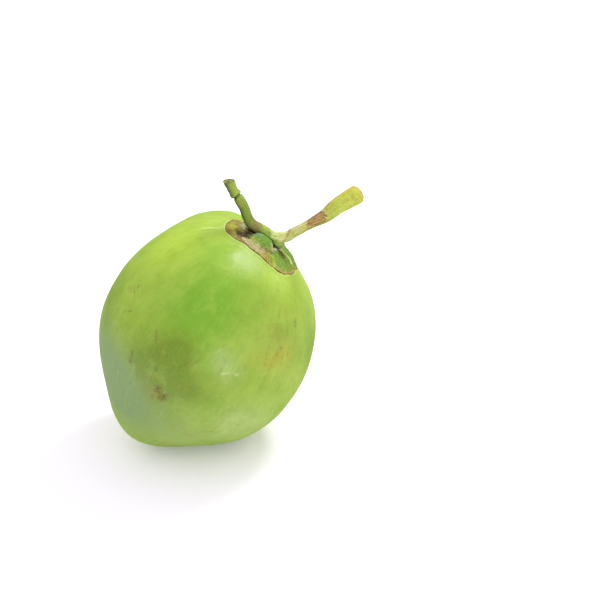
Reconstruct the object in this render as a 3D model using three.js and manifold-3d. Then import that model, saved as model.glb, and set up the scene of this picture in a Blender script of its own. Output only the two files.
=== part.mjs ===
// A young green coconut as picked: the smooth husk, the six scales of its cap, and the piece of
// flower branch that it hung from. It rests near its blossom end; its stem end leans to the right.
//
// Millimetres, +Z up. The origin is on the small flat spot that the nut rests on, under its centre.

import * as THREE from "three";
import { mergeVertices } from "three/addons/utils/BufferGeometryUtils.js";
import Module from "manifold-3d";

const manifold = await Module();
manifold.setup();

// ---------------------------------------------------------------- driving dimensions

const GAP = 0.3; // kept between pieces that touch

// How the nut lies: its stem axis leans from upright, towards a heading turned from +X to +Y.
const LEAN = 31; // degrees
const HEADING = 5; // degrees
const CENTRE_HEIGHT = 89.4; // the nut's centre above the surface it rests on

// The husk is a rounded body about its stem axis, pushed out by four broad swells.
const HUSK = {
  stemHalf: 91, // centre to stem end
  blossomHalf: 82, // centre to the other end, without the nose
  radius: 84.5, // across, at the middle
  squareness: 2.08, // 2 would be an ellipsoid
  rings: 38,
  sides: 56,
};

// Each swell: how far it stands out, where it is (degrees from the stem end, and round the axis),
// and how tight it is.
const SWELLS = [
  { name: "left shoulder", height: 12, polar: 39, azimuth: 120, tightness: 12 },
  { name: "front shoulder", height: 4, polar: 47, azimuth: 249, tightness: 16 },
  { name: "nose", height: 18, polar: 164, azimuth: 242, tightness: 12 },
  { name: "belly", height: 8, polar: 140, azimuth: 15.5, tightness: 6.4 },
];

// The cap: three broad inner scales (petals) with three outer ones (sepals) over their joints.
// pinch draws a petal's rim in on one side: towards lower azimuths if positive.
const CAP_ROOT = 7.6; // the scales start this far from the stem axis
const PETAL = { lift: GAP, thickness: 1.7, edgeDrop: 0.3, across: 14, along: 7 };
const SEPAL = { lift: 2.3, thickness: 1.7, edgeDrop: 0.34, across: 12, along: 7 };
const SCALES = [
  { name: "petal_left", whorl: PETAL, azimuth: 190, halfAngle: 57, reach: 33, swell: 0, pinch: -0.95 },
  { name: "petal_front", whorl: PETAL, azimuth: 311, halfAngle: 57, reach: 35, swell: 0, pinch: 0.9 },
  { name: "petal_back", whorl: PETAL, azimuth: 71, halfAngle: 57, reach: 33, swell: 0, pinch: 0 },
  { name: "sepal_front", whorl: SEPAL, azimuth: 252, halfAngle: 44, reach: 24.6, swell: 4, pinch: 0 },
  { name: "sepal_right", whorl: SEPAL, azimuth: 12, halfAngle: 38, reach: 35, swell: 0.6, pinch: 0 },
  { name: "sepal_back", whorl: SEPAL, azimuth: 132, halfAngle: 42, reach: 25, swell: 0.6, pinch: 0 },
];

// The flower branch lies across the crown. Its centreline starts at the thin cut end, drops to
// the crown, and rises steeply to the thick end: x, y, z from the husk's stem end, and radius.
const BRANCH = [
  [-48.6, 4, 28.6, 4.9],
  [-46.4, 3.8, 26.6, 4.3],
  [-41, 3.2, 22.9, 3.9],
  [-37.2, 2.6, 20.9, 4.2],
  [-36.2, 2.5, 20.5, 3.4],
  [-35, 2.4, 20, 3.9],
  [-27.5, 1, 16, 4],
  [-21, -0.8, 10.4, 4.1],
  [-16, -1.5, 7.8, 4.4],
  [-10, -1.8, 8.3, 3.8],
  [-3, -2.2, 8.3, 3.6],
  [3.5, -2.8, 8.1, 4],
  [8.4, -2.8, 9.9, 4.3],
  [12.6, -1.8, 13, 4],
  [16.8, -0.4, 19.4, 3.8],
  [23.8, 0.5, 31, 4],
  [29.4, 1.5, 40, 5.2],
  [34.2, 3, 52, 6.4],
  [42.9, 6.5, 67, 7.5],
];
const BRANCH_SIDES = 14;
const BRANCH_STEPS = 2; // rings for each stretch between two points
const BRANCH_DOME = 5; // how far the thick end's rounded cut stands out
const PEDICEL = { radius: 6.8, neck: 4.4, top: 7 }; // the short foot that holds the nut

// ---------------------------------------------------------------- the husk's surface

const radians = THREE.MathUtils.degToRad;

function direction(polar, azimuth) {
  return new THREE.Vector3().setFromSphericalCoords(1, polar, azimuth + Math.PI / 2)
    .applyAxisAngle(new THREE.Vector3(1, 0, 0), Math.PI / 2);
}

// Distance from the nut's centre to its skin, in a direction given in the nut's own axes.
function skinRadius(toward) {
  const along = Math.abs(toward.z) / (toward.z > 0 ? HUSK.stemHalf : HUSK.blossomHalf);
  const across = Math.hypot(toward.x, toward.y) / HUSK.radius;
  const p = HUSK.squareness;
  let reach = (along ** p + across ** p) ** (-1 / p);
  for (const swell of SWELLS) {
    const peak = direction(radians(swell.polar), radians(swell.azimuth));
    reach += swell.height * Math.exp(swell.tightness * (toward.dot(peak) - 1));
  }
  return reach;
}

// A point near the stem end: rho is the distance from the axis along the skin.
const CROWN_ARC = 92;
function crownPoint(rho, azimuth, lift) {
  const toward = direction(rho / CROWN_ARC, azimuth);
  return toward.multiplyScalar(skinRadius(toward) + lift);
}

const stemEnd = crownPoint(0, 0, 0).z;

// ---------------------------------------------------------------- solids

function toSolid(geometry) {
  const bare = geometry.clone();
  bare.deleteAttribute("normal");
  bare.deleteAttribute("uv");
  const merged = mergeVertices(bare, 1e-4);
  return new manifold.Manifold(new manifold.Mesh({
    numProp: 3,
    vertProperties: new Float32Array(merged.attributes.position.array),
    triVerts: new Uint32Array(merged.index.array),
  }));
}

function toGeometry(solid) {
  const { vertProperties, triVerts } = solid.getMesh();
  const geometry = new THREE.BufferGeometry();
  geometry.setAttribute("position", new THREE.BufferAttribute(vertProperties, 3));
  geometry.setIndex(new THREE.BufferAttribute(triVerts, 1));
  geometry.computeVertexNormals();
  return geometry;
}

function named(name, geometry, color, roughness) {
  const mesh = new THREE.Mesh(
    geometry,
    new THREE.MeshStandardMaterial({ color, roughness, metalness: 0 }),
  );
  mesh.name = name;
  return mesh;
}

// ---------------------------------------------------------------- the nut's axes in the world

function nutPlacement() {
  const axis = new THREE.Vector3().setFromSphericalCoords(
    1, radians(LEAN), radians(HEADING) + Math.PI / 2,
  ).applyAxisAngle(new THREE.Vector3(1, 0, 0), Math.PI / 2);
  const right = new THREE.Vector3(0, 1, 0).cross(axis).normalize();
  const back = axis.clone().cross(right);
  return new THREE.Matrix4().makeBasis(right, back, axis).setPosition(0, 0, CENTRE_HEIGHT);
}

// ---------------------------------------------------------------- the husk

function huskGeometry(placement) {
  const ball = new THREE.SphereGeometry(1, HUSK.sides, HUSK.rings).rotateX(Math.PI / 2);
  const position = ball.attributes.position;
  const point = new THREE.Vector3();
  for (let i = 0; i < position.count; i += 1) {
    point.fromBufferAttribute(position, i).normalize();
    point.multiplyScalar(skinRadius(point));
    position.setXYZ(i, point.x, point.y, point.z);
  }
  ball.applyMatrix4(placement);

  // The rest spot: everything below the surface is pressed flat.
  const ground = new THREE.BoxGeometry(400, 400, 100).translate(0, 0, -50);
  const husk = toGeometry(toSolid(ball).subtract(toSolid(ground)));
  const skin = husk.attributes.position;
  for (let i = 0; i < skin.count; i += 1) {
    if (Math.abs(skin.getZ(i)) < 1e-3) skin.setZ(i, 0);
  }
  return husk;
}

// ---------------------------------------------------------------- the cap's scales

// A thin shell that hugs the crown. Its rim is furthest out along its middle line.
function scaleGeometry({ whorl, azimuth, halfAngle, reach, swell, pinch }) {
  const shell = new THREE.BoxGeometry(2, 1, 1, whorl.across, whorl.along, 1);
  const position = shell.attributes.position;
  for (let i = 0; i < position.count; i += 1) {
    const side = position.getX(i);
    const out = position.getY(i) + 0.5;
    const up = position.getZ(i) + 0.5;
    const width = Math.abs(side);
    const drawnIn = Math.max(0, pinch * side) * width * (1 - width);
    const rim = reach * (1 - whorl.edgeDrop * width ** 3 - drawnIn);
    const rho = CAP_ROOT + (rim - CAP_ROOT) * out;
    const plump = swell * (1 - side * side) * Math.sin(Math.PI * Math.min(1, 0.35 + 0.65 * out));
    const thickness = whorl.thickness * (1 - 0.4 * out ** 3) + plump;
    const angle = radians(azimuth - side * halfAngle);
    const point = crownPoint(rho, angle, whorl.lift + up * thickness);
    position.setXYZ(i, point.x, point.y, point.z - stemEnd);
  }
  return shell;
}

// ---------------------------------------------------------------- the flower branch

// A closed rod round a smooth line through the points. Its start is cut flat and its end is domed.
function rodGeometry(points, extraRadius) {
  const line = new THREE.CatmullRomCurve3(points.map(([x, y, z]) => new THREE.Vector3(x, y, z)));
  const stretches = points.length - 1;
  const rings = [];
  const addRing = (centre, tangent, radius) => {
    const side = tangent.clone().cross(new THREE.Vector3(0, 1, 0)).normalize();
    const over = side.clone().cross(tangent);
    rings.push({ centre, side, over, radius });
  };
  for (let i = 0; i <= stretches * BRANCH_STEPS; i += 1) {
    const t = i / (stretches * BRANCH_STEPS);
    const from = Math.min(Math.floor(t * stretches), stretches - 1);
    const radius = THREE.MathUtils.lerp(points[from][3], points[from + 1][3], t * stretches - from);
    addRing(line.getPoint(t), line.getTangent(t), radius + extraRadius);
  }
  const end = line.getPoint(1);
  const endTangent = line.getTangent(1);
  const endRadius = points[stretches][3] + extraRadius;
  for (const turn of [25, 50, 75]) {
    const centre = end.clone().addScaledVector(endTangent, BRANCH_DOME * Math.sin(radians(turn)));
    addRing(centre, endTangent, endRadius * Math.cos(radians(turn)));
  }

  const vertices = [];
  for (const { centre, side, over, radius } of rings) {
    for (let k = 0; k < BRANCH_SIDES; k += 1) {
      const turn = (2 * Math.PI * k) / BRANCH_SIDES;
      const point = centre.clone()
        .addScaledVector(side, radius * Math.cos(turn))
        .addScaledVector(over, radius * Math.sin(turn));
      vertices.push(point.x, point.y, point.z);
    }
  }
  const lastRing = rings.length - 1;
  const startCap = vertices.length / 3;
  vertices.push(...rings[0].centre.toArray(), ...rings[lastRing].centre.toArray());
  const endCap = startCap + 1;

  const faces = [];
  for (let k = 0; k < BRANCH_SIDES; k += 1) {
    const next = (k + 1) % BRANCH_SIDES;
    for (let i = 0; i < lastRing; i += 1) {
      const a = i * BRANCH_SIDES;
      const b = a + BRANCH_SIDES;
      faces.push(a + k, b + k, a + next, a + next, b + k, b + next);
    }
    const last = lastRing * BRANCH_SIDES;
    faces.push(startCap, k, next, endCap, last + next, last + k);
  }
  const geometry = new THREE.BufferGeometry();
  geometry.setAttribute("position", new THREE.Float32BufferAttribute(vertices, 3));
  geometry.setIndex(faces);
  return geometry;
}

// The foot widens from the branch down to the crown.
function pedicelGeometry(extraRadius) {
  const outline = [
    [0, GAP],
    [PEDICEL.radius + extraRadius, GAP],
    [PEDICEL.radius + extraRadius, 2],
    [PEDICEL.neck + extraRadius, PEDICEL.top],
    [0, PEDICEL.top],
  ];
  const profile = outline.map(([radius, height]) => new THREE.Vector2(radius, height));
  return new THREE.LatheGeometry(profile, BRANCH_SIDES).rotateX(Math.PI / 2);
}

function branchSolid(extraRadius) {
  return toSolid(rodGeometry(BRANCH, extraRadius)).add(toSolid(pedicelGeometry(extraRadius)));
}

// ---------------------------------------------------------------- the coconut

const placement = nutPlacement();
const coconut = new THREE.Group();
coconut.add(named("husk", huskGeometry(placement), 0x9cc84a, 0.42));

const crown = new THREE.Group();
crown.applyMatrix4(placement);
crown.translateZ(stemEnd);
coconut.add(crown);

const clearance = branchSolid(GAP);
for (const scale of SCALES) {
  const solid = toSolid(scaleGeometry(scale)).subtract(clearance);
  const color = scale.whorl === PETAL ? 0x9a8a3c : 0x6fae3e;
  crown.add(named(scale.name, toGeometry(solid), color, 0.65));
}
crown.add(named("branch", toGeometry(branchSolid(0)), 0x93ab3c, 0.55));

export default coconut;
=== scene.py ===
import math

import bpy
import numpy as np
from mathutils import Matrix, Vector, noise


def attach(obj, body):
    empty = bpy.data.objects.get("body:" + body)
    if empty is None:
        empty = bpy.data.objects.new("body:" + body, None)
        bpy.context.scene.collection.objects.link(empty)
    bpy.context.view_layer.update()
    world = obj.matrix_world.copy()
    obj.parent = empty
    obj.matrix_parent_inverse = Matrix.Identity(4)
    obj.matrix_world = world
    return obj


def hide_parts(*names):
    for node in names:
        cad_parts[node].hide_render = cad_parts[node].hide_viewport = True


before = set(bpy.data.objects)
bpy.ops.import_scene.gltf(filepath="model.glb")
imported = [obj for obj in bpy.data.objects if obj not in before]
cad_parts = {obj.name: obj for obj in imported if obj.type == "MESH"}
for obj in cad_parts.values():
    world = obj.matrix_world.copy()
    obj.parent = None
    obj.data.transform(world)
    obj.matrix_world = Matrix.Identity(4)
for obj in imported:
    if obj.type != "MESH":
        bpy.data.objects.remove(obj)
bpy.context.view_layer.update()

# A young green coconut as picked: waxy husk, the six scales of its cap, and its cut flower branch.
# Lengths below are in millimetres in the nut's own axes and become metres when a mesh is made.
# The nut's own z is its stem axis and its x leans down to the right, as in the CAD model.

MM = 0.001

# ---------------------------------------------------------------- the nut's shape, as in the CAD

LEAN = 31
HEADING = 5
CENTRE_HEIGHT = 89.4
STEM_HALF = 91
BLOSSOM_HALF = 82
RADIUS = 84.5
SQUARENESS = 2.08

# Broad swells of the husk: height, then degrees from the stem end and round the axis, tightness.
SWELLS = [
    (12, 39, 120, 12),
    (4, 47, 249, 16),
    (18, 164, 242, 12),
    (8, 140, 15.5, 6.4),
]

# Millimetres along the skin to each radian from the stem end.
CROWN_ARC = 92


def directions(polar, azimuth):
    """Unit vectors in the nut's axes, from angles in radians."""
    return np.stack(
        [np.sin(polar) * np.cos(azimuth), np.sin(polar) * np.sin(azimuth), np.cos(polar)], -1
    )


def direction(polar, azimuth):
    """One such vector, from angles in degrees."""
    return directions(math.radians(polar), math.radians(azimuth))


def skin_radius(toward):
    """Distance from the nut's centre to its skin."""
    along = np.abs(toward[..., 2]) / np.where(toward[..., 2] > 0, STEM_HALF, BLOSSOM_HALF)
    across = np.hypot(toward[..., 0], toward[..., 1]) / RADIUS
    reach = (along**SQUARENESS + across**SQUARENESS) ** (-1 / SQUARENESS)
    for height, polar, azimuth, tightness in SWELLS:
        reach = reach + height * np.exp(tightness * (toward @ direction(polar, azimuth) - 1))
    return reach


STEM_END = float(skin_radius(direction(0, 0)))


def crown_points(rho, azimuth, lift):
    """Points near the stem end: rho along the skin from the axis, lift above the skin."""
    toward = directions(rho / CROWN_ARC, azimuth)
    return toward * (skin_radius(toward) + lift)[..., None]


def nut_axes():
    """The nut's own x, y and z as rows, in the row frame."""
    lean, heading = math.radians(LEAN), math.radians(HEADING)
    axis = np.array(
        [math.sin(lean) * math.cos(heading), math.sin(lean) * math.sin(heading), math.cos(lean)]
    )
    right = np.cross([0, 1, 0], axis)
    right /= np.linalg.norm(right)
    return np.array([right, np.cross(axis, right), axis])


AXES = nut_axes()


def to_world(points):
    """Nut's own millimetres to metres in the row frame."""
    return (points @ AXES + [0, 0, CENTRE_HEIGHT]) * MM


# ---------------------------------------------------------------- helpers

def field(points, size, seed, octaves=3):
    """Smooth fractal noise, about -1 to 1, with features of the given size."""
    shift = Vector((seed * 17.31, seed * 9.17, seed * 5.73))
    values = [noise.fractal(Vector(p) + shift, 1.0, 2.0, octaves) for p in points / size]
    return np.array(values)


def smooth(low, high, value):
    """0 below low, 1 above high, and a soft step between."""
    t = np.clip((value - low) / (high - low), 0, 1)
    return t * t * (3 - 2 * t)


def bump_at(value, centre, width):
    """1 where the value is at the centre, falling off to both sides."""
    return np.exp(-(((value - centre) / width) ** 2))


def wrap(angle):
    """The same angle between -pi and pi."""
    return (angle + np.pi) % (2 * np.pi) - np.pi


def make_mesh(name, vertices, faces):
    """A smooth-shaded object in the scene, with vertices in metres."""
    mesh = bpy.data.meshes.new(name)
    mesh.from_pydata(vertices.tolist(), [], faces)
    mesh.validate()
    mesh.polygons.foreach_set("use_smooth", [True] * len(mesh.polygons))
    piece = bpy.data.objects.new(name, mesh)
    bpy.context.scene.collection.objects.link(piece)
    return piece


def apply_modifiers(piece):
    bpy.context.view_layer.objects.active = piece
    piece.select_set(True)
    bpy.ops.object.convert(target="MESH")
    piece.select_set(False)


def paint(piece, **masks):
    """Writes float attributes that the materials read."""
    for name, values in masks.items():
        layer = piece.data.attributes.new(name, "FLOAT", "POINT")
        layer.data.foreach_set("value", np.clip(values, -1, 1e6).astype(np.float32))


def paint_tint(piece, colors):
    """Writes the piece's own colour, which the material then varies."""
    layer = piece.data.attributes.new("tint", "FLOAT_COLOR", "POINT")
    opaque = np.concatenate([colors, np.ones((len(colors), 1))], 1)
    layer.data.foreach_set("color", opaque.astype(np.float32).ravel())


def paint_vector(piece, name, values):
    """Writes coordinates that the materials stretch their noise along."""
    layer = piece.data.attributes.new(name, "FLOAT_VECTOR", "POINT")
    layer.data.foreach_set("vector", values.astype(np.float32).ravel())


# ---------------------------------------------------------------- material helpers

def rgb(code):
    """A hex colour as linear light."""
    parts = [int(code[i:i + 2], 16) / 255 for i in (0, 2, 4)]
    return [c / 12.92 if c <= 0.04045 else ((c + 0.055) / 1.055) ** 2.4 for c in parts] + [1]


def lay(tint, tone, cover):
    """Lays a tone over the tint itself, as thickly as cover says, 0 to 1."""
    tint += (np.array(rgb(tone)[:3]) - tint) * np.clip(cover, 0, 1)[:, None]


# How much light a waxy skin mirrors from the pale room round it.
SHEEN = 0.03
WAXY = {"Specular IOR Level": 0.0, "Coat Weight": 0.17, "Coat IOR": 2.5}
DULL = {"Specular IOR Level": 0.0, "Coat Weight": 0.1, "Coat IOR": 2.5}


def seen(code):
    """A colour as it looks in a pale room, less the room's own reflection on a waxy skin."""
    return [max(c - SHEEN, 0.004) for c in rgb(code)[:3]] + [1]


class Shader:
    """A small builder for node materials. Its lengths are in metres."""

    def __init__(self, name):
        self.material = bpy.data.materials.new(name)
        self.material.use_nodes = True
        self.tree = self.material.node_tree
        self.surface = self.tree.nodes["Principled BSDF"]
        self.object_coordinates = self.node("ShaderNodeTexCoord").outputs["Object"]

    def node(self, kind, **settings):
        made = self.tree.nodes.new(kind)
        for key, value in settings.items():
            setattr(made, key, value)
        return made

    def put(self, socket, value):
        if isinstance(value, bpy.types.NodeSocket):
            self.tree.links.new(value, socket)
        else:
            socket.default_value = value

    def math(self, operation, a, b=0.0, clamp=False):
        made = self.node("ShaderNodeMath", operation=operation, use_clamp=clamp)
        self.put(made.inputs[0], a)
        self.put(made.inputs[1], b)
        return made.outputs[0]

    def attribute(self, name, output="Fac"):
        return self.node("ShaderNodeAttribute", attribute_name=name).outputs[output]

    def noise(self, scale, detail=3.0, roughness=0.55, coordinates=None, distortion=0.0):
        """Noise from 0 to 1, with about scale features per unit of the coordinates."""
        made = self.node("ShaderNodeTexNoise")
        self.put(made.inputs["Vector"], coordinates or self.object_coordinates)
        self.put(made.inputs["Scale"], scale)
        self.put(made.inputs["Detail"], detail)
        self.put(made.inputs["Roughness"], roughness)
        self.put(made.inputs["Distortion"], distortion)
        return made.outputs["Fac"]

    def step(self, value, low, high):
        """0 below low and 1 above high, smooth between. low may be above high."""
        made = self.node("ShaderNodeMapRange", interpolation_type="SMOOTHSTEP")
        flip = low > high
        self.put(made.inputs["Value"], value)
        self.put(made.inputs["From Min"], min(low, high))
        self.put(made.inputs["From Max"], max(low, high))
        self.put(made.inputs["To Min"], 1.0 if flip else 0.0)
        self.put(made.inputs["To Max"], 0.0 if flip else 1.0)
        return made.outputs[0]

    def mix(self, factor, a, b):
        made = self.node("ShaderNodeMix", data_type="RGBA")
        self.put(made.inputs["Factor"], factor)
        self.put(made.inputs["A"], a)
        self.put(made.inputs["B"], b)
        return made.outputs["Result"]

    def speckle(self, color, value, low, high, share, tone):
        """Lays a share of the tone over the colour where the value passes from low to high."""
        cover = self.math("MULTIPLY", self.step(value, low, high), share)
        return self.mix(cover, color, tone)

    def bump(self, height, strength, distance, normal=None):
        made = self.node("ShaderNodeBump")
        self.put(made.inputs["Height"], height)
        made.inputs["Strength"].default_value = strength
        made.inputs["Distance"].default_value = distance
        if normal is not None:
            self.put(made.inputs["Normal"], normal)
        return made.outputs["Normal"]

    def finish(self, color, roughness, normal, gloss, gloss_roughness):
        self.put(self.surface.inputs["Base Color"], color)
        self.put(self.surface.inputs["Roughness"], roughness)
        self.put(self.surface.inputs["Normal"], normal)
        self.put(self.surface.inputs["Coat Normal"], normal)
        self.surface.inputs["Coat Roughness"].default_value = gloss_roughness
        for name, value in gloss.items():
            self.surface.inputs[name].default_value = value
        return self.material


# ---------------------------------------------------------------- the cap's scales: outlines

# How far from the axis the scales start, and how far petals and sepals lie off the husk.
CAP_ROOT = 6.4
PETAL_LIFT = 0.25
SEPAL_LIFT = 2.2

# Azimuth is the middle of each scale and half its half width, both in degrees. Reach is how many
# millimetres out it goes, drop the share by which its sides are shorter, and pinch how much its
# rim is drawn in on one side.
SCALES = {
    "petal_left": dict(azimuth=190, half=57, reach=33, drop=0.3, pinch=0.95, petal=True, seed=1),
    "petal_front": dict(azimuth=311, half=57, reach=35, drop=0.3, pinch=-0.9, petal=True, seed=2),
    "petal_back": dict(azimuth=71, half=57, reach=33, drop=0.3, pinch=0, petal=True, seed=3),
    "sepal_front": dict(azimuth=252, half=44, reach=24.8, drop=0.3, pinch=0, petal=False, seed=4),
    "sepal_right": dict(azimuth=12, half=38, reach=35, drop=0.34, pinch=0, petal=False, seed=5),
    "sepal_back": dict(azimuth=132, half=42, reach=25, drop=0.34, pinch=0, petal=False, seed=6),
}


def rim_distance(scale, side):
    """How far out a scale's rim lies, for side from -1 to 1 across it."""
    ragged = field(np.stack([side * 3, side * 0, side * 0], -1), 0.45, scale["seed"] + 20, 4)
    width = np.abs(side)
    drawn_in = np.maximum(0, scale["pinch"] * side) * width * (1 - width)
    return scale["reach"] * (1 - scale["drop"] * width**3 - drawn_in + 0.018 * ragged)


def cap_rim(azimuth):
    """The cap's outline: the furthest rim at each azimuth, in radians."""
    rim = np.zeros_like(azimuth)
    for scale in SCALES.values():
        turn = np.degrees(azimuth) - scale["azimuth"]
        turn = (turn + 180) % 360 - 180
        side = turn / scale["half"]
        inside = np.abs(side) <= 1
        rim = np.where(inside, np.maximum(rim, rim_distance(scale, np.clip(side, -1, 1))), rim)
    return rim


# ---------------------------------------------------------------- the husk

HUSK_SIDES = 540
HUSK_RINGS = 360

# The lip keeps within CAP_ZONE of the axis, and each mark within MARK_REACH of its middle.
CAP_ZONE = 60
MARK_REACH = 14
SCATTERED = 90
PLEATS = 9
REST_SOFTNESS = 1.2

# Marks on the skin: kind, degrees from the stem end and round the axis, half length and half
# width in millimetres, degrees that the mark is turned from running down the nut, strength.
MARKS = [
    ("tan", 26, 146, 5, 1.2, 70, 0.6),
    ("dark", 27, 188, 13, 0.9, 0, 0.45),
    ("pale", 27, 184, 12, 2.2, 0, 0.2),
    ("dark", 34, 170, 9, 0.8, 0, 0.3),
    ("tan", 21, 150, 6, 0.9, 80, 0.6),
    ("tan", 77, 206, 4.0, 3.2, 0, 0.8),
    ("brown", 76, 209, 3.6, 0.8, 60, 0.75),
    ("brown", 78, 203, 2.2, 0.8, -10, 0.6),
    ("dark", 85, 215, 4.4, 0.9, -50, 0.6),
    ("dark", 87, 212, 2.0, 1.0, 10, 0.5),
    ("tan", 45, 280, 3.8, 2.8, 20, 0.6),
    ("tan", 51, 287, 3.0, 2.0, 60, 0.4),
    ("tan", 43, 268, 5, 2.2, 30, 0.25),
    ("tan", 32, 294, 8, 0.8, 0, 0.35),
    ("brown", 42, 298, 7, 0.7, 0, 0.35),
    ("brown", 46, 314, 4, 2.2, 10, 0.55),
    ("tan", 84, 236, 3.4, 4.2, 0, 0.6),
    ("brown", 84, 238, 7.5, 0.8, 36, 0.7),
    ("brown", 101, 231, 4.2, 1.2, 20, 0.8),
    ("brown", 104, 232, 3.2, 1.6, -20, 0.7),
    ("tan", 111, 253, 8.4, 7.2, 40, 0.65),
    ("brown", 108, 253, 5.2, 4.4, 20, 1.0),
    ("brown", 110.5, 257, 5.0, 3.8, -30, 1.0),
    ("brown", 114, 252, 2.2, 1.4, 0, 0.5),
    ("tan", 114, 248, 6, 1.0, 30, 0.7),
    ("tan", 117, 251, 5, 0.8, 35, 0.6),
    ("tan", 113, 245, 4, 0.8, 25, 0.5),
    ("dark", 116, 236, 1.6, 1.2, 0, 0.8),
    ("brown", 87, 258, 6, 0.8, -29, 0.45),
    ("brown", 83, 262, 5, 0.7, -34, 0.35),
    ("brown", 92, 254, 4, 0.9, -20, 0.4),
    ("brown", 66, 308, 3.6, 0.6, 10, 0.4),
    ("brown", 63, 303, 3, 0.6, -5, 0.4),
    ("brown", 61, 311, 4, 0.6, 5, 0.4),
    ("brown", 66, 296, 3, 0.6, 0, 0.4),
    ("brown", 68, 313, 3, 0.6, 0, 0.35),
    ("brown", 60, 304, 2.4, 1.8, 0, 0.4),
    ("dark", 98, 247, 2.6, 1.6, 0, 0.5),
    ("pale", 72, 269, 3.6, 0.9, 140, 0.4),
    ("pale", 81, 278, 5.0, 0.9, 128, 0.6),
    ("pale", 79, 284, 2.2, 1.0, 120, 0.6),
    ("tan", 83, 281, 4, 2.6, 60, 0.35),
    ("tan", 108, 293, 4.4, 1.2, 30, 0.55),
    ("tan", 108, 304, 4, 1.4, 70, 0.5),
    ("tan", 101, 309, 3, 1.4, 80, 0.45),
    ("tan", 129, 286, 8, 2.4, 75, 0.6),
    ("tan", 127, 272, 5, 3.0, 20, 0.5),
    ("tan", 131, 300, 6, 1.6, 80, 0.45),
    ("tan", 62, 95, 5, 1.6, 20, 0.6),
    ("brown", 74, 60, 4, 2.2, 50, 0.6),
    ("brown", 92, 112, 6, 0.9, 10, 0.6),
    ("tan", 100, 20, 6, 1.4, 40, 0.5),
    ("dark", 84, 352, 3, 1.2, 0, 0.5),
    ("tan", 70, 155, 4, 2.0, 70, 0.5),
    ("brown", 118, 140, 3, 2.0, 30, 0.6),
    ("pale", 66, 30, 4, 0.8, 60, 0.3),
    ("tan", 126, 70, 6, 2.0, 60, 0.5),
]

# Broad changes of the skin's colour, among them a painted highlight and a painted shade: kind,
# place in degrees, spread in degrees, strength.
PATCHES = [
    ("lime", 50, 198, 17, 0.9),
    ("lime", 36, 186, 13, 0.6),
    ("lime", 30, 322, 12, 0.5),
    ("lime", 50, 90, 26, 0.8),
    ("lime", 44, 36, 18, 0.6),
    ("lemon", 24, 172, 11, 0.6),
    ("lemon", 24, 296, 8, 0.6),
    ("lemon", 30, 60, 18, 0.7),
    ("green", 50, 250, 18, 0.8),
    ("green", 66, 252, 17, 0.9),
    ("green", 31, 224, 9, 0.5),
    ("green", 99, 281, 9, 0.4),
    ("green", 70, 110, 26, 0.9),
    ("green", 62, 16, 20, 0.8),
    ("olive", 94, 190, 12, 0.6),
    ("olive", 103, 202, 9, 0.6),
    ("olive", 94, 250, 15, 1.0),
    ("olive", 83, 252, 9, 0.6),
    ("olive", 100, 264, 9, 0.7),
    ("olive", 110, 248, 9, 0.6),
    ("olive", 53, 308, 10, 0.4),
    ("olive", 101, 243, 11, 0.9),
    ("olive", 113, 254, 13, 0.5),
    ("olive", 96, 274, 10, 0.4),
    ("olive", 100, 226, 9, 0.3),
    # This olive patch on the right limb is partly the skin's own colour and partly painted shade.
    ("olive", 58, 342, 17, 0.6),
    ("olive", 100, 130, 18, 0.7),
    ("olive", 92, 30, 14, 0.5),
    ("bloom", 113, 208, 13, 0.6),
    ("bloom", 121, 224, 17, 0.8),
    ("bloom", 130, 232, 23, 1.0),
    ("bloom", 130, 272, 22, 0.6),
    ("bloom", 130, 196, 20, 0.7),
    ("bloom", 134, 110, 26, 0.6),
    # Painted highlight: two whitish patches laid into the skin's colour.
    ("painted_highlight", 75, 274, 7, 0.6),
    ("painted_highlight", 80, 281, 6, 0.4),
    ("straw", 114, 314, 20, 1.0),
    ("straw", 104, 300, 12, 0.5),
    ("straw", 141, 284, 14, 0.6),
    ("straw", 112, 40, 18, 0.6),
    ("orange", 62, 308, 7, 1.0),
    ("orange", 68, 300, 5, 0.7),
    ("orange", 67, 291, 5, 0.5),
    ("orange", 88, 36, 9, 0.6),
    ("worn", 96, 244, 20, 1.0),
    ("worn", 66, 302, 14, 0.9),
    ("worn", 46, 296, 16, 0.6),
    ("worn", 80, 206, 14, 0.7),
    ("worn", 112, 296, 18, 0.8),
    ("worn", 78, 276, 10, 0.6),
    ("worn", 92, 110, 26, 0.8),
    ("worn", 84, 20, 22, 0.8),
    ("worn", 30, 140, 12, 0.5),
]
PATCH_KINDS = ("lemon", "lime", "green", "olive", "bloom", "straw", "painted_highlight", "orange", "worn")


def scattered_marks():
    """Small specks and scratches, most of them where the skin is worn."""
    draw = np.random.default_rng(11)
    worn = [patch for patch in PATCHES if patch[0] == "worn"]
    marks = []
    for _ in range(SCATTERED):
        _, polar, azimuth, spread, _ = worn[draw.integers(len(worn))]
        kind = ("dark", "tan", "brown", "tan")[draw.integers(4)]
        at_polar = polar + draw.normal(0, 0.6 * spread)
        at_azimuth = azimuth + draw.normal(0, 0.6 * spread)
        length = draw.uniform(0.9, 2.8)
        width = draw.uniform(0.6, 1.5)
        turned = draw.normal(0, 40)
        strength = draw.uniform(0.12, 0.42)
        marks.append((kind, at_polar, at_azimuth, length, width, turned, strength))
    return marks


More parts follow.
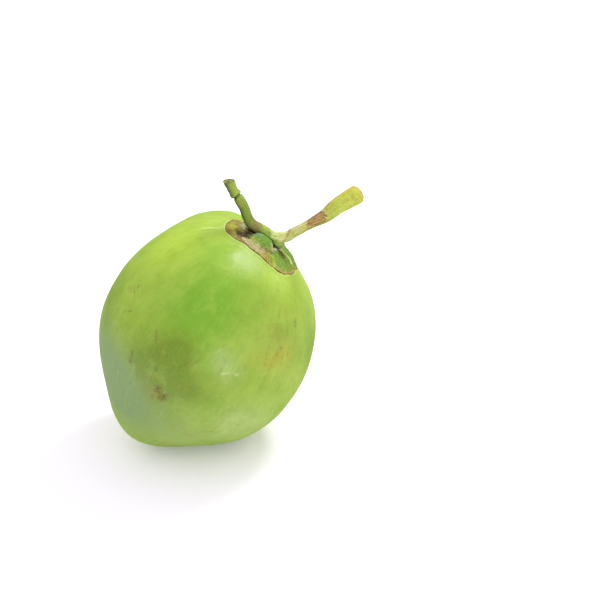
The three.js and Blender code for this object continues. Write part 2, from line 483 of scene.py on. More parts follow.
def mark_strengths(spot):
    """How strongly each kind of mark covers each spot of the skin."""
    marks = {kind: np.zeros(len(spot)) for kind in ("tan", "brown", "dark", "pale")}
    for kind, at_polar, at_azimuth, length, width, turned, strength in MARKS + scattered_marks():
        centre = direction(at_polar, at_azimuth)
        down = direction(at_polar + 90, at_azimuth)
        across = np.cross(centre, down)
        tilt = math.radians(turned)
        offset = spot - centre * float(skin_radius(centre))
        near = np.abs(offset).max(1) < MARK_REACH
        u = offset[near] @ (down * math.cos(tilt) + across * math.sin(tilt))
        v = offset[near] @ (across * math.cos(tilt) - down * math.sin(tilt))
        wander = 0.6 * field(spot[near], 2.4, at_azimuth, 3)
        depth = smooth(1.35, 0.15, np.hypot(u / length, v / width) + wander)
        marks[kind][near] = np.maximum(marks[kind][near], strength * depth)
    return marks


def patch_strengths(toward):
    """How strongly each kind of patch colours the skin in each direction."""
    patches = {kind: np.zeros(len(toward)) for kind in PATCH_KINDS}
    for kind, at_polar, at_azimuth, spread, strength in PATCHES:
        away = np.arccos(np.clip(toward @ direction(at_polar, at_azimuth), -1, 1))
        patches[kind] += strength * np.exp(-((np.degrees(away) / spread) ** 2))
    return patches


def ball_faces(last):
    """Faces between the husk's rings, with a fan round the first and the last vertex."""
    faces = []
    start = last - HUSK_SIDES
    for k in range(HUSK_SIDES):
        following = (k + 1) % HUSK_SIDES
        faces.append((0, 1 + k, 1 + following))
        faces.append((last, start + following, start + k))
        for i in range(HUSK_RINGS - 2):
            a = 1 + i * HUSK_SIDES
            b = a + HUSK_SIDES
            faces.append((a + k, b + k, b + following, a + following))
    return faces


def husk_piece():
    ring = np.arange(1, HUSK_RINGS) * np.pi / HUSK_RINGS
    turn = np.arange(HUSK_SIDES) * 2 * np.pi / HUSK_SIDES
    polar, azimuth = [a.ravel() for a in np.meshgrid(ring, turn, indexing="ij")]
    polar = np.concatenate([[0], polar, [np.pi]])
    azimuth = np.concatenate([[0], azimuth, [0]])
    toward = directions(polar, azimuth)
    base = skin_radius(toward)
    spot = toward * base[:, None]

    # Slow dents and swells, a low lip round the cap, and faint pleats below it.
    relief = 0.55 * field(spot, 46, 3, 2) + 0.14 * field(spot, 14, 4, 3)
    rho = polar * CROWN_ARC
    past_rim = rho - cap_rim(azimuth)
    lip = bump_at(past_rim, 1.6, 2.2) * (rho < CAP_ZONE)
    relief += 0.7 * lip
    pleats = np.cos(PLEATS * azimuth + 2 * field(toward, 0.5, 6, 1))
    relief += 0.25 * pleats * bump_at(rho, 46, 20)
    marks = mark_strengths(spot)
    relief -= 0.16 * marks["brown"] + 0.1 * marks["dark"] - 0.08 * marks["pale"]
    world = to_world(toward * (base + relief)[:, None])

    # The rest spot: the skin is pressed flat with a soft edge, its lowest points at zero.
    world[:, 2] = 0.5 * (world[:, 2] + np.sqrt(world[:, 2] ** 2 + (REST_SOFTNESS * MM) ** 2))
    world[:, 2] -= world[:, 2].min()

    piece = make_mesh("coconut_husk", world, ball_faces(len(polar) - 1))
    lip_line = bump_at(past_rim, 0.4, 0.8) * (rho < CAP_ZONE)
    paint(piece, lip=lip_line, **marks, **patch_strengths(toward))
    paint(piece, crown=smooth(70, 30, rho))
    meridian = np.stack([np.cos(azimuth), np.sin(azimuth), 0.15 * polar], -1)
    paint_vector(piece, "meridian", meridian)
    return piece


def husk_material():
    s = Shader("husk_skin")
    wide = s.noise(15, 4, distortion=0.8)
    mottle = s.noise(60, 4, 0.6)
    grain = s.noise(430, 3)
    streak = s.noise(24, 4, coordinates=s.attribute("meridian", "Vector"))

    def uneven(name, share):
        """A broad patch, broken up by noise that averages 0.8 before it is scaled back to 1."""
        rough = s.math("ADD", s.math("MULTIPLY", wide, 0.9), s.math("MULTIPLY", mottle, 0.7))
        return s.math("MULTIPLY", s.math("MULTIPLY", s.attribute(name), rough), share / 0.8, True)

    color = s.mix(s.step(wide, 0.36, 0.64), seen("a2bd52"), seen("95b245"))
    color = s.mix(uneven("lime", 0.9), color, seen("b0ca4c"))
    color = s.mix(uneven("lemon", 0.9), color, seen("c2dc6c"))
    color = s.mix(uneven("green", 0.9), color, seen("80b03a"))
    color = s.mix(uneven("olive", 0.95), color, seen("758f2c"))
    color = s.mix(s.math("MULTIPLY", s.attribute("bloom"), 0.82, True), color, seen("859c6a"))
    color = s.mix(uneven("straw", 0.95), color, seen("a9c070"))
    # Painted highlight: whitish patches laid into the colour.
    color = s.mix(uneven("painted_highlight", 0.7), color, seen("b6ce86"))
    color = s.mix(uneven("orange", 0.8), color, seen("afac42"))

    # Fibres fade out towards the cap, and the skin's cells do under the bloom.
    fibre = s.step(streak, 0.47, 0.68)
    calm = s.math("SUBTRACT", 1.0, s.math("MULTIPLY", s.attribute("crown"), 0.6))
    color = s.mix(s.math("MULTIPLY", s.math("MULTIPLY", fibre, calm), 0.18), color, seen("7c9e34"))
    pale_fibre = s.math("MULTIPLY", s.step(streak, 0.46, 0.3), calm)
    color = s.mix(s.math("MULTIPLY", pale_fibre, 0.08), color, seen("bcd476"))
    clear = s.math("SUBTRACT", 1.0, s.math("MULTIPLY", s.attribute("bloom"), 0.75), True)
    dark_cells = s.math("MULTIPLY", s.step(mottle, 0.48, 0.7), 0.34)
    color = s.mix(s.math("MULTIPLY", dark_cells, clear), color, seen("7f9f38"))
    pale_cells = s.math("MULTIPLY", s.step(mottle, 0.46, 0.3), 0.2)
    color = s.mix(s.math("MULTIPLY", pale_cells, clear), color, seen("bccf5c"))
    color = s.speckle(color, grain, 0.52, 0.72, 0.12, seen("b4cc70"))
    color = s.speckle(color, s.noise(300, 4, 0.7), 0.56, 0.7, 0.28, seen("7a9232"))
    lip = s.math("MULTIPLY", s.attribute("lip"), s.step(mottle, 0.3, 0.55), True)
    color = s.mix(s.math("MULTIPLY", lip, 0.55), color, seen("dfdf9c"))

    # Worn places: blotches, then short dashes along the fibres.
    cloudy = s.step(s.noise(75, 5, 0.7, distortion=0.6), 0.5, 0.66)
    blotch = s.math("MULTIPLY", cloudy, s.attribute("worn"))
    color = s.mix(s.math("MULTIPLY", blotch, 0.32), color, seen("93803c"))
    for fineness, low, tone, share in ((46, 0.6, "6b6a2c", 0.5), (80, 0.64, "8d6a3c", 0.4)):
        lines = s.noise(fineness, 3, 0.6, s.attribute("meridian", "Vector"))
        dashes = s.step(lines, low, low + 0.06)
        kept = s.math("MULTIPLY", s.step(s.noise(fineness, 2), 0.42, 0.6), s.attribute("worn"))
        cover = s.math("MULTIPLY", s.math("MULTIPLY", dashes, kept), share, True)
        color = s.mix(cover, color, seen(tone))

    # The marks, each a little broken up.
    broken = s.step(s.noise(520, 3, 0.7), 0.28, 0.58)
    for name, tone, share in (
        ("tan", "9a9048", 0.75),
        ("dark", "56622a", 0.9),
        ("brown", "66581c", 1.0),
        ("pale", "dfe4ac", 0.9),
    ):
        cover = s.math("MULTIPLY", s.attribute(name), broken, True)
        color = s.mix(s.math("MULTIPLY", cover, share), color, rgb(tone))

    scarred = s.math("ADD", s.attribute("brown"), s.attribute("tan"), True)
    roughness = s.math("ADD", s.math("MULTIPLY", mottle, 0.16), 0.3)
    roughness = s.math("ADD", roughness, s.math("MULTIPLY", scarred, 0.3), True)
    roughness = s.math("ADD", roughness, s.math("MULTIPLY", s.attribute("bloom"), 0.12), True)
    normal = s.bump(s.noise(150, 4), 0.3, 0.0006)
    normal = s.bump(grain, 0.15, 0.0002, normal)
    return s.finish(color, roughness, normal, WAXY, 0.36)


# ---------------------------------------------------------------- the cap's scales

# Cells of a scale's grid, and where the plump green lobe sits on the front sepal.
ACROSS = 150
ALONG = 84
LOBE_AZIMUTH = 254
LOBE_RHO = 10.2
LOBE_HALF_WIDTHS = (8.2, 6.8)
LOBE_RISE = 4.6
THINNEST = 0.35

# The dried and the fresh parts of the cap, and painted shade at the root under the branch: tone,
# degrees round the axis and millimetres from it, half width across and outwards, strength, and how
# many millimetres it stands up.
CAP_MARKS = [
    ("olive", 180, 26.5, 9, 5.5, 0.95, 0.9),
    ("lime", 183, 27, 4, 3, 0.45, 0.0),
    ("brown", 140, 29, 8, 4.5, 0.9, 0.2),
    ("brown", 196, 31, 5, 1.8, 0.7, 0.0),
    ("grey", 165, 19.5, 5, 4, 0.9, 0.5),
    ("papery", 150, 23, 3.4, 1.8, 0.9, 1.1),
    ("dark", 150, 22, 1.2, 0.7, 1.0, -0.9),
    # Painted shade: this dark mark at the left petal's root lies under the branch's bar.
    ("dark", 180, 12, 7, 5, 0.85, -0.4),
    ("dark", 203, 23, 6, 3.0, 0.9, -0.2),
    ("dark", 207, 17, 6, 4.6, 0.95, -0.5),
    ("brown", 216, 24, 5, 2.4, 0.8, 0.1),
    ("deep", 213, 12.5, 4, 3.4, 0.9, 0.6),
    ("papery", 224, 22, 4, 2.2, 0.95, 0.5),
    ("papery", 241, 20.5, 6, 2.8, 0.95, 0.4),
    ("lime", 232, 17, 3, 1.2, 0.5, 0.0),
    ("papery", 258, 21, 5, 2.6, 0.8, 0.2),
    ("brown", 261, 19, 1.0, 3.0, 0.7, -0.2),
    ("papery", 268, 22, 3, 3, 0.6, 0.0),
    ("brown", 276, 18.5, 3.2, 1.6, 0.9, 0.3),
    ("orange", 280, 22, 4.0, 2.8, 0.75, 0.5),
    ("olive", 274, 26, 4, 3.0, 0.8, 0.2),
    ("fresh", 254, 11, 10, 7.8, 1.0, 0.0),
    ("mint", 224, 11, 3.8, 4.4, 0.85, 0.0),
    ("chalk", 306, 11.5, 5, 1.7, 0.95, 0.9),
    ("grey", 298, 14.5, 4, 1.4, 0.7, 0.3),
    ("leaf", 302, 20, 6, 5, 0.9, 0.5),
    ("leaf", 312, 26, 7, 4, 0.7, 0.2),
    ("deep", 327, 19.5, 1.1, 6, 0.9, -0.7),
    ("lime", 293, 27, 2, 5, 0.6, 0.2),
    ("chalk", 352, 13, 4, 1.6, 0.95, 0.8),
    ("brown", 5, 9.6, 4, 1.9, 0.95, 1.2),
    ("dark", 8, 12.2, 1.8, 0.8, 1.0, -0.8),
    ("lemon", 341, 18, 1.1, 5, 0.95, 0.9),
    ("lemon", 345, 25, 1.2, 4, 0.85, 0.6),
    ("leaf", 2, 19, 5, 5, 0.8, 0.4),
    ("deep", 20, 27, 8, 3, 0.6, 0.0),
    ("orange", 350, 33, 4.5, 1.6, 0.85, 1.0),
    ("papery", 60, 24, 8, 3, 0.7, 0.3),
    ("brown", 82, 27, 6, 3, 0.7, 0.1),
    ("olive", 96, 24, 5, 4, 0.7, 0.3),
    ("papery", 128, 21, 7, 2.4, 0.8, 0.4),
]
CAP_TONES = {
    "olive": "a79a34", "brown": "7c5c34", "grey": "aab080", "papery": "c3b982", "dark": "46372a",
    "deep": "53702a", "lime": "b6c43a", "leaf": "6a952b", "mint": "6f9468", "orange": "a8902a",
    "lemon": "cfdc7e", "fresh": "66922a", "chalk": "d2d2b6",
}
# Each scale's own colour, and that of its dry margin with the margin's width.
SCALE_TONES = {
    "petal_left": ("938a3e", "8c6a42", 2.2),
    "petal_front": ("7a9832", "b09a50", 2.6),
    "petal_back": ("8a9a40", "a07a4a", 3.6),
    "sepal_front": ("94a64c", "bcae78", 5.2),
    "sepal_right": ("628b29", "98883a", 1.4),
    "sepal_back": ("78983a", "b4a474", 3.6),
}


def scale_heights(name, scale, side, out, rho, azimuth, spots, raised):
    """Lift of a scale's underside above the husk, and its thickness, both in millimetres."""
    fine = field(spots, 1.9, scale["seed"] + 40, 4)
    slow = field(spots, 7, scale["seed"] + 50, 3)
    edge = 1 - (1 - out**4) * (1 - np.abs(side) ** 5)
    ribs = np.cos(side * scale["half"] * 0.75 + 2.2 * slow) * smooth(0.1, 0.5, out)
    if scale["petal"]:
        lift = PETAL_LIFT + 0.3 * edge * np.maximum(slow, 0)
        thickness = 1.6 - 0.4 * out**2 + 0.16 * ribs + 0.3 * fine
    else:
        lift = SEPAL_LIFT - 1.7 * smooth(0.6, 1.0, out) * (rho > 18)
        thickness = 1.6 - 0.5 * out**2 + 0.12 * ribs + 0.22 * fine
    thickness = (thickness + 0.4 * slow) * (1 - 0.6 * edge) + raised * (1 - edge**2)
    if name == "sepal_front":
        across = np.abs(rho * np.sin(azimuth - math.radians(LOBE_AZIMUTH)))
        outward = np.abs(rho - LOBE_RHO)
        half_across, half_outward = LOBE_HALF_WIDTHS
        plump = np.exp(-((across / half_across) ** 3) - (outward / half_outward) ** 3)
        thickness = thickness * (1 - 0.5 * plump) + LOBE_RISE * plump
    return lift, np.maximum(thickness, THINNEST)


def scale_tints(name, scale, side, rho, rim, spots):
    """Colour and height of the marks at each point of a scale."""
    own, dry, dry_width = SCALE_TONES[name]
    rough = field(spots, 2.4, scale["seed"] + 70, 4)
    wavy = field(spots, 6, scale["seed"] + 80, 3)
    tint = np.repeat([rgb(own)[:3]], len(rho), 0)
    raised = np.zeros(len(rho))
    sideways = (1 - np.abs(side)) * math.radians(scale["half"]) * rho
    margin = np.minimum(rim - rho, sideways)
    lay(tint, "a8803e", 0.5 * smooth(0.15, 0.75, rough))
    dry_margin = smooth(dry_width, 0.3 * dry_width, margin + 1.4 * rough + 0.8 * wavy)
    lay(tint, dry, 0.9 * dry_margin)

    # The outline of each mark wavers, each by an amount of its own.
    for number, mark in enumerate(CAP_MARKS):
        tone, at_azimuth, at_rho, across, outward, strength, height = mark
        waver = 0.12 * math.sin(number) * wavy
        turn = math.radians(at_azimuth)
        offset = spots[:, :2] - at_rho * np.array([math.cos(turn), math.sin(turn)])
        u = offset @ [-math.sin(turn), math.cos(turn)] / across
        v = offset @ [math.cos(turn), math.sin(turn)] / outward
        cover = smooth(1.3, 0.55, np.hypot(u, v) + 0.4 * rough + waver)
        lay(tint, CAP_TONES[tone], strength * cover)
        raised += height * cover

    # Thin brown lines run along the dry front margins, but not on the fresh right sepal. The very
    # edge of every scale is dark.
    papery = smooth(7.5, 4.5, margin) * bump_at(rho, 22, 6) * (name != "sepal_right")
    lines = smooth(0.62, 0.95, np.cos(2 * np.pi * (margin + 0.5 * wavy) / 1.9))
    front = smooth(-0.1, 0.5, -spots[:, 1] / np.maximum(rho, 1))
    lay(tint, "7a5a3c", 0.75 * papery * lines * front)
    lay(tint, "6e5030", 0.85 * smooth(0.7, 0.15, margin + 0.25 * rough))
    return tint, raised


def scale_piece(name):
    """A thin shell over a grid: side runs across it from one edge to the other, out to its rim."""
    scale = SCALES[name]
    side_line = np.linspace(-1, 1, ACROSS + 1)
    out_line = np.linspace(0, 1, ALONG + 1) ** 0.9
    side, out = [a.ravel() for a in np.meshgrid(side_line, out_line, indexing="ij")]
    rim = rim_distance(scale, side)
    rho = CAP_ROOT + (rim - CAP_ROOT) * out
    azimuth = np.radians(scale["azimuth"] + side * scale["half"])
    spots = np.stack([rho * np.cos(azimuth), rho * np.sin(azimuth), rho * 0], -1)
    tint, raised = scale_tints(name, scale, side, rho, rim, spots)
    lift, thickness = scale_heights(name, scale, side, out, rho, azimuth, spots, raised)
    under = crown_points(rho, azimuth, lift)
    over = crown_points(rho, azimuth, lift + thickness)

    row = ALONG + 1
    count = len(side)
    top = lambda i, j: count + i * row + j
    low = lambda i, j: i * row + j
    faces = []
    for i in range(ACROSS):
        for j in range(ALONG):
            faces.append((top(i, j), top(i, j + 1), top(i + 1, j + 1), top(i + 1, j)))
            faces.append((low(i, j), low(i + 1, j), low(i + 1, j + 1), low(i, j + 1)))
        for j, flip in ((0, False), (ALONG, True)):
            wall = (low(i, j), top(i, j), top(i + 1, j), low(i + 1, j))
            faces.append(wall[::-1] if flip else wall)
    for j in range(ALONG):
        for i, flip in ((0, True), (ACROSS, False)):
            wall = (low(i, j), top(i, j), top(i, j + 1), low(i, j + 1))
            faces.append(wall[::-1] if flip else wall)
    piece = make_mesh(name + "_scale", to_world(np.concatenate([under, over])), faces)
    paint_tint(piece, np.concatenate([tint, tint]))
    grain = np.stack([np.cos(azimuth), np.sin(azimuth), rho * 0.01], -1)
    paint_vector(piece, "grain", np.concatenate([grain, grain]))
    return piece


def scale_material(name):
    s = Shader(name)
    vein = s.noise(26, 4, coordinates=s.attribute("grain", "Vector"))
    spots = s.noise(420, 4, 0.65)
    cloud = s.noise(170, 4, 0.6)
    color = s.attribute("tint", "Color")
    color = s.speckle(color, vein, 0.5, 0.68, 0.45, rgb("5c6e26"))
    color = s.speckle(color, vein, 0.46, 0.3, 0.4, rgb("d4cf96"))
    color = s.speckle(color, cloud, 0.52, 0.7, 0.3, rgb("86602e"))
    color = s.speckle(color, spots, 0.55, 0.72, 0.3, rgb("4a3a24"))
    roughness = s.math("ADD", s.math("MULTIPLY", cloud, 0.3), 0.42, True)
    normal = s.bump(vein, 0.6, 0.0007)
    normal = s.bump(spots, 0.45, 0.0004, normal)
    return s.finish(color, roughness, normal, DULL, 0.45)


# ---------------------------------------------------------------- the flower branch

# x, y, z from the husk's stem end and radius, from the thin cut end to the thick one.
BRANCH = np.array([
    (-48.6, 4, 28.6, 4.9),
    (-46.4, 3.8, 26.6, 4.3),
    (-41, 3.2, 22.9, 3.9),
    (-37.2, 2.6, 20.9, 4.2),
    (-36.2, 2.5, 20.5, 3.4),
    (-35, 2.4, 20, 3.9),
    (-27.5, 1, 16, 4),
    (-21, -0.8, 10.4, 4.1),
    (-16, -1.5, 7.8, 4.4),
    (-10, -1.8, 8.3, 3.8),
    (-3, -2.2, 8.3, 3.6),
    (3.5, -2.8, 8.1, 4),
    (8.4, -2.8, 9.9, 4.3),
    (12.6, -1.8, 13, 4),
    (16.8, -0.4, 19.4, 3.8),
    (23.8, 0.5, 31, 4),
    (29.4, 1.5, 40, 5.2),
    (34.2, 3, 52, 6.4),
    (42.9, 6.5, 67, 7.5),
])
BRANCH_DOME = 5.0
BRANCH_RINGS = 420
BRANCH_SIDES = 56
DOME_RINGS = 14
VOXEL = 0.42

# Height above the stem end and radius of the foot's rings, and the heel beside it.
FOOT = np.array([
    (0.35, 6.2),
    (0.35, 6.8),
    (0.6, 7.0),
    (1.4, 6.8),
    (2.4, 6.3),
    (4.0, 5.4),
    (5.5, 4.8),
    (7.0, 4.4),
])
HEEL = (9.0, -2.4, 5.4)
HEEL_RADII = (6.2, 4.2, 3.4)
HEEL_RINGS = 17

# Places on the branch, and angles round its arms, where -pi/2 is the front.
NOTCH = (-36.6, 2.5, 20.6)
KNOT = (-1, -5, 9.6)
SCAR = (26.8, 0.9, 35.4)
SCAR_HALF_LENGTH = 8.5
SCAR_HALF_TURN = 1.15
SCAR_ANGLE = -1.0
SPLIT_ANGLE = -2.15
EDGE_ANGLE = 0.1

# The level cut lies this far below the thin arm's end, and shapes this much of the arm.
CUT_DROP = 1.4
CUT_LENGTH = 9

# The bark's colour by x, with light and shade painted in: on the side towards the light, and on the
# shaded side.
BARK = [
    (-49, "7f8c3e", "4c5a24"), (-45, "9aae48", "546a26"), (-38, "9ab045", "526a24"),
    (-30, "8aa23a", "465f20"), (-22, "7c9532", "3d521c"), (-18, "788a32", "3e4a1c"),
    (-14, "8c7c44", "544628"), (-10, "93904a", "67622e"), (-7, "9ab848", "6a862e"),
    (-3, "aac658", "789a3a"), (1, "dae68e", "a0be52"), (9, "e0e692", "a2c054"),
    (12.5, "d2ce80", "8fac48"), (15, "c6c46a", "8fa442"), (20, "cccc72", "8ea23c"),
    (26, "c0b060", "8a9438"), (31, "b8cc50", "84a434"), (38, "c8d054", "8cac3a"),
    (44, "c6cc4c", "96a83a"),
]


def bark_tints(points, painted_lit):
    """Colours between the stations of BARK, by x and by how much painted light each spot gets."""
    x = points[:, 0] + 0.9 * field(points, 4, 71, 2)
    stations = [station[0] for station in BARK]
    bright, shaded = [
        np.stack([np.interp(x, stations, [rgb(row[side])[i] for row in BARK]) for i in range(3)], 1)
        for side in (1, 2)
    ]
    return shaded + (bright - shaded) * painted_lit[:, None]


def centripetal(points, count):
    """A smooth line through the points, evenly spaced in the curve's own parameter."""
    first = 2 * points[0] - points[1]
    last = 2 * points[-1] - points[-2]
    p = np.concatenate([[first], points, [last]])
    t = np.linspace(0, len(points) - 1, count)
    i = np.minimum(t.astype(int), len(points) - 2)
    u = (t - i)[:, None]
    a, b, c, d = p[i], p[i + 1], p[i + 2], p[i + 3]
    gap = lambda m, n: np.sqrt(np.linalg.norm((n - m)[:, :3], axis=1, keepdims=True))
    ab, bc, cd = gap(a, b), gap(b, c), gap(c, d)
    start = ((b - a) / ab - (c - a) / (ab + bc) + (c - b) / bc) * bc
    stop = ((c - b) / bc - (d - b) / (bc + cd) + (d - c) / cd) * bc
    return (
        b + start * u + (-3 * b + 3 * c - 2 * start - stop) * u**2
        + (2 * b - 2 * c + start + stop) * u**3
    )


def branch_line():
    """Centres, radii and ring axes along the branch, the rounded end included."""
    line = centripetal(BRANCH, BRANCH_RINGS)
    centres, radii = line[:, :3], line[:, 3]
    tangents = np.gradient(centres, axis=0)
    tangents /= np.linalg.norm(tangents, axis=1, keepdims=True)
    turns = np.radians(np.linspace(4, 86, DOME_RINGS))
    dome = centres[-1] + tangents[-1] * (BRANCH_DOME * np.sin(turns))[:, None]
    centres = np.concatenate([centres, dome])
    radii = np.concatenate([radii, radii[-1] * np.cos(turns)])
    tangents = np.concatenate([tangents, np.repeat(tangents[-1:], len(turns), 0)])
    sides = np.cross(tangents, [0, 1, 0])
    sides /= np.linalg.norm(sides, axis=1, keepdims=True)
    return centres, radii, sides, np.cross(sides, tangents)


def closed_tube(rings):
    """Vertices and faces of a tube through rings of equal length, closed by a fan at each end."""
    count, around = rings.shape[:2]
    vertices = np.concatenate([rings.reshape(-1, 3), [rings[0].mean(0)], [rings[-1].mean(0)]])
    start, stop = count * around, count * around + 1
    faces = []
    for k in range(around):
        following = (k + 1) % around
        for i in range(count - 1):
            a = i * around
            b = a + around
            faces.append((a + k, b + k, b + following, a + following))
        last = (count - 1) * around
        faces.append((start, k, following))
        faces.append((stop, last + following, last + k))
    return vertices, faces


def level_rings(angle, widths, heights):
    """Level circles of the given widths, at the given heights."""
    circle = np.stack([np.cos(angle), -np.sin(angle), 0 * angle], -1)
    return circle[None] * widths[:, None, None] + np.array([0, 0, 1]) * heights[:, None, None]


def joined_branch(centres, radii, sides, overs):
    """The arms, the foot and the heel as one smooth surface, still without its bark."""
    angle = np.arange(BRANCH_SIDES) * 2 * np.pi / BRANCH_SIDES
    ring = np.cos(angle)[None, :, None] * sides[:, None]
    ring = ring + np.sin(angle)[None, :, None] * overs[:, None]
    rod = closed_tube(centres[:, None] + ring * radii[:, None, None])
    foot = closed_tube(level_rings(angle, widths=FOOT[:, 1], heights=FOOT[:, 0]))
    turns = np.radians(np.linspace(-80, 80, HEEL_RINGS))
    ball, heel_faces = closed_tube(level_rings(angle, widths=np.cos(turns), heights=np.sin(turns)))
    heel = (ball * HEEL_RADII + HEEL, heel_faces)

    vertices = np.concatenate([part[0] for part in (rod, foot, heel)])
    faces = []
    shift = 0
    for part_vertices, part_faces in (rod, foot, heel):
        faces += [tuple(i + shift for i in face) for face in part_faces]
        shift += len(part_vertices)
    piece = make_mesh("flower_branch", vertices * MM, faces)

    remesh = piece.modifiers.new("join", "REMESH")
    remesh.mode = "VOXEL"
    remesh.voxel_size = VOXEL * MM
    even = piece.modifiers.new("even", "SMOOTH")
    even.factor = 0.5
    even.iterations = 4
    apply_modifiers(piece)
    return piece


def vertices_of(piece):
    """The piece's vertices in millimetres, and their normals."""
    points = np.empty(len(piece.data.vertices) * 3)
    piece.data.vertices.foreach_get("co", points)
    normals = np.empty(len(points))
    piece.data.vertex_normals.foreach_get("vector", normals)
    return points.reshape(-1, 3) / MM, normals.reshape(-1, 3)


def nearest_ring(points, centres, block=4000):
    """Which ring of the branch each point belongs to, worked out in blocks to save memory."""
    nearest = np.empty(len(points), int)
    for start in range(0, len(points), block):
        some = points[start:start + block]
        away = ((some[:, None] - centres[None]) ** 2).sum(-1)
        nearest[start:start + block] = away.argmin(1)
    return nearest


def branch_piece():
    centres, radii, sides, overs = branch_line()
    piece = joined_branch(centres, radii, sides, overs)
    points, normals = vertices_of(piece)
    nearest = nearest_ring(points, centres)
    offset = points - centres[nearest]
    around = np.arctan2((offset * overs[nearest]).sum(1), (offset * sides[nearest]).sum(1))
    steps = np.linalg.norm(np.diff(centres, axis=0), axis=1)
    length = np.concatenate([[0], np.cumsum(steps)])
    along = length[nearest]
    whole = length[-1]

    # Fibres run lengthwise; a crack rings the thin arm; the scar is a sunken flake of bark.
    lengthwise = np.stack([np.cos(around) * 4, np.sin(around) * 4, along * 0.12], -1)
    fibre = field(lengthwise, 0.9, 61, 3)
    lumps = field(points, 7, 62, 2)
    rough = field(points, 2.2, 66, 3)
    place = lambda spot: length[np.linalg.norm(centres - spot, axis=1).argmin()]
    from_scar = np.hypot(
        (along - place(SCAR)) / SCAR_HALF_LENGTH, wrap(around - SCAR_ANGLE) / SCAR_HALF_TURN
    )
    scar = smooth(1.15, 0.8, from_scar + 0.45 * rough)
    flap = bump_at(from_scar + 0.2 * rough, 1.05, 0.1)
    split = bump_at(wrap(around - SPLIT_ANGLE) + 0.15 * rough, 0, 0.16)
    split *= bump_at(along, place(SCAR) - 2, 8)
    crack = bump_at(along + 0.35 * rough, place(NOTCH), 0.55)
    relief = 0.2 * fibre + 0.3 * lumps + 0.1 * rough
    relief -= 0.45 * scar - 0.4 * scar * field(points, 1.4, 64, 3)
    relief += 0.45 * flap - 0.9 * crack - 0.8 * split
    relief += 0.25 * bump_at(along, place(NOTCH) - 2.2, 1.6)
    cut_thin = smooth(0.9, 0.2, along)
    cut_thick = smooth(whole - 3.2, whole - 1.2, along + 0.5 * rough)
    relief += 0.25 * cut_thin * field(points, 1.2, 65, 2)
    pith = field(points, 1.5, 69, 4)
    relief += 0.22 * cut_thick * pith

    # Light and shade are painted into the bark: it is brighter where it faces up and forward, and
    # on the thin arm where it faces right.
    x = points[:, 0]
    upward = normals[:, 2] - 0.35 * normals[:, 1] + 0.5 * normals[:, 0] * (x < -16)
    painted_lit = smooth(-0.75, 0.6, upward + 0.25 * fibre)
    tint = bark_tints(points, painted_lit)

    # Painted shade darkens the thin arm's outer side, and a brown line runs along the upper edge of
    # the bend.
    outer_shade = smooth(0.3, 0.9, -normals[:, 0] + 0.2 * fibre) * smooth(-15, -18, x)
    lay(tint, "37481a", 0.75 * outer_shade)
    upper_edge = bump_at(wrap(around - EDGE_ANGLE) + 0.2 * rough, 0, 0.26)
    on_bend = smooth(2, 6, x) * smooth(26, 22, x)
    lay(tint, "8a5c38", 0.8 * upper_edge * on_bend)

    # The bend has pale and olive streaks, a green underside, a green knot, a painted shadow in the
    # hollow at the left of its foot, and a thin brown line across it.
    streaks = field(lengthwise * [1, 1, 0.3], 0.8, 72, 3)
    streak = streaks * smooth(-3, 1, x) * smooth(24, 16, x)
    lay(tint, "ecebae", 0.8 * smooth(0.08, 0.3, streak))
    lay(tint, "86953a", 0.5 * smooth(0.08, 0.35, -streak))
    underneath = smooth(8.8, 5.6, points[:, 2] + rough) * smooth(-4, 2, x)
    lay(tint, "7fae46", 0.85 * underneath)
    from_knot = np.linalg.norm(points - KNOT, axis=1)
    lay(tint, "5a8428", 0.7 * bump_at(from_knot + rough, 0, 2.6))
    # Painted shadow in the hollow at the left of the foot, under the bend.
    foot_shadow = smooth(6.2, 4.4, points[:, 2] + 0.6 * rough) * smooth(-1, -7, x)
    lay(tint, "3c2c1a", 0.95 * foot_shadow)
    lay(tint, "8a5c38", 0.7 * bump_at(x + 0.8 * rough, 11.8, 0.55) * smooth(0.2, 0.7, painted_lit))

    # The thick arm turns golden along its upper edge.
    golden = bump_at(wrap(around - EDGE_ANGLE) + 0.3 * fibre, 0, 0.7) * smooth(24, 29, x)
    lay(tint, "cfa63a", 0.7 * golden * smooth(-0.5, 0.3, streaks))

    # The crack, then the scar with its streaks and dark rim, then the split below it.
    lay(tint, "27300f", 0.95 * crack)
    lay(tint, "b8905e", 0.95 * scar)
    lay(tint, "7c4c2c", 0.75 * scar * smooth(0.15, 0.6, field(lengthwise, 0.5, 67, 3)))
    lay(tint, "d6ac84", 0.6 * scar * smooth(0.1, 0.6, field(points, 2.6, 68, 2)))
    lay(tint, "7a4428", 0.8 * bump_at(from_scar + 0.4 * rough, 0.92, 0.08))
    beside_split = bump_at(wrap(around - SPLIT_ANGLE), 0.45, 0.22) * bump_at(along, place(SCAR), 9)
    lay(tint, "c8a24c", 0.6 * beside_split)
    lay(tint, "4a3018", 0.9 * split)
    lay(tint, "d6cf8e", 0.7 * flap * (normals[:, 2] < 0.3))

    # The cut ends, flecked by their pith.
    lay(tint, "66702f", 0.75 * cut_thin)
    lay(tint, "b4ad68", 0.6 * cut_thin * smooth(0.0, 0.4, pith))
    lay(tint, "3f4a1c", 0.6 * cut_thin * smooth(0.1, 0.5, -pith))
    lay(tint, "c0a446", 0.7 * cut_thick)
    lay(tint, "8f7030", 0.6 * cut_thick * smooth(0.05, 0.5, pith))
    lay(tint, "e6cf7a", 0.5 * cut_thick * smooth(0.1, 0.5, -pith))
    lay(tint, "a87c3c", 0.4 * bump_at(along + 0.4 * rough, whole - 3.4, 0.7))

    points = points + normals * relief[:, None]
    points[:, 2] += STEM_END
    world = to_world(points)

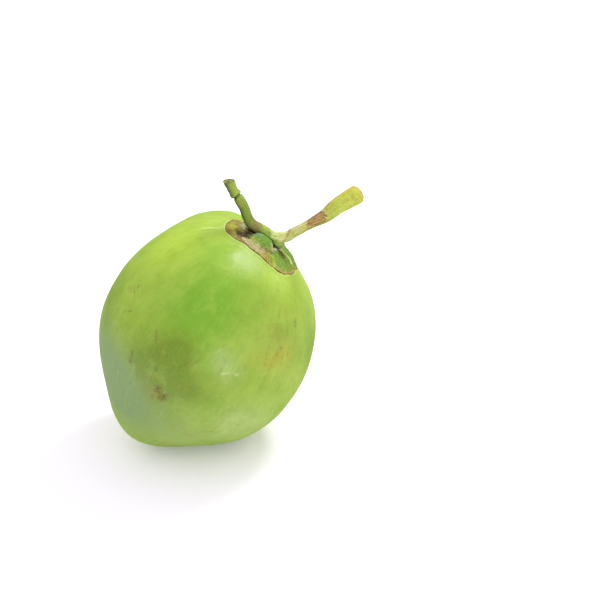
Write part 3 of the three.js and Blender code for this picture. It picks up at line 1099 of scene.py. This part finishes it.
    # The thin arm was cut level: what stood above the cut is pressed down to it.
    cut = to_world(centres[:1] + [0, 0, STEM_END])[0, 2] - CUT_DROP * MM
    near_cut = along < CUT_LENGTH
    world[near_cut, 2] = np.minimum(world[near_cut, 2], cut + 0.15 * (world[near_cut, 2] - cut))
    piece.data.vertices.foreach_set("co", world.ravel())
    piece.data.update()
    paint_tint(piece, tint)
    paint(piece, scar=scar)
    paint_vector(piece, "lengthwise", lengthwise)
    return piece


def branch_material():
    s = Shader("branch_bark")
    strand = s.noise(3.2, 5, 0.6, coordinates=s.attribute("lengthwise", "Vector"))
    speck = s.noise(480, 4, 0.6)
    cloud = s.noise(150, 3)
    color = s.attribute("tint", "Color")
    color = s.speckle(color, strand, 0.5, 0.66, 0.5, rgb("6d7c2c"))
    color = s.speckle(color, strand, 0.47, 0.32, 0.32, rgb("dfe29a"))
    color = s.speckle(color, cloud, 0.54, 0.7, 0.3, rgb("a8943e"))
    color = s.speckle(color, speck, 0.57, 0.72, 0.35, rgb("6a5428"))
    roughness = s.math("ADD", s.math("MULTIPLY", s.attribute("scar"), 0.3), 0.46, True)
    normal = s.bump(strand, 0.6, 0.0007)
    normal = s.bump(speck, 0.3, 0.0003, normal)
    return s.finish(color, roughness, normal, DULL, 0.45)


# ---------------------------------------------------------------- the object

def fit_out(piece, node, material):
    piece.data.materials.append(material)
    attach(piece, "root")
    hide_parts(node)


fit_out(husk_piece(), "husk", husk_material())
for scale_name in SCALES:
    fit_out(scale_piece(scale_name), scale_name, scale_material(scale_name + "_skin"))
fit_out(branch_piece(), "branch", branch_material())


# ---------------------------------------------------------------- floor, light, camera

# Lengths from here on are in metres.
FLOOR_HALF = 6.0


def floor():
    """A pale floor that glows faintly, so that it stays white round the contact shadow."""
    corners = np.array([(-1, -1, 0), (1, -1, 0), (1, 1, 0), (-1, 1, 0)]) * FLOOR_HALF
    plane = make_mesh("floor", corners, [(0, 1, 2, 3)])
    s = Shader("floor")
    s.surface.inputs["Base Color"].default_value = (0.925, 0.875, 0.94, 1)
    s.surface.inputs["Roughness"].default_value = 1.0
    s.surface.inputs["Specular IOR Level"].default_value = 0.0
    s.surface.inputs["Emission Color"].default_value = (0.87, 0.85, 1.04, 1)
    s.surface.inputs["Emission Strength"].default_value = 0.18
    plane.data.materials.append(s.material)


def area_light(name, place, target, size, power):
    data = bpy.data.lights.new(name, "AREA")
    data.shape = "DISK"
    data.size = size
    data.energy = power
    lamp = bpy.data.objects.new(name, data)
    bpy.context.scene.collection.objects.link(lamp)
    lamp.location = place
    lamp.rotation_euler = (Vector(target) - Vector(place)).to_track_quat("-Z", "Y").to_euler()


def light():
    world = bpy.data.worlds.new("studio")
    world.use_nodes = True
    background = world.node_tree.nodes["Background"]
    background.inputs["Color"].default_value = (1, 1, 1, 1)
    background.inputs["Strength"].default_value = 1.05
    bpy.context.scene.world = world
    target = (0, 0, CENTRE_HEIGHT * MM)
    area_light("overhead", place=(0.62, 0.60, 1.2), target=target, size=0.42, power=9)


CAMERA_ELEVATION = 25
CAMERA_DISTANCE = 1.130
CAMERA_ASIDE = 0.0747
CAMERA_ABOVE = 0.0276


def camera():
    data = bpy.data.cameras.new("camera")
    data.lens = 85
    data.sensor_width = 36
    data.clip_start = 0.01
    eye = bpy.data.objects.new("camera", data)
    bpy.context.scene.collection.objects.link(eye)
    rise = math.radians(CAMERA_ELEVATION)
    up = Vector((0, math.sin(rise), math.cos(rise)))
    back = Vector((0, -math.cos(rise), math.sin(rise)))
    centre = Vector((0, 0, CENTRE_HEIGHT * MM))
    middle = centre + Vector((CAMERA_ASIDE, 0, 0)) + up * CAMERA_ABOVE
    eye.location = middle + back * CAMERA_DISTANCE
    eye.rotation_euler = (math.radians(90 - CAMERA_ELEVATION), 0, 0)
    bpy.context.scene.camera = eye


floor()
light()
camera()
bpy.context.scene.view_settings.view_transform = "Standard"
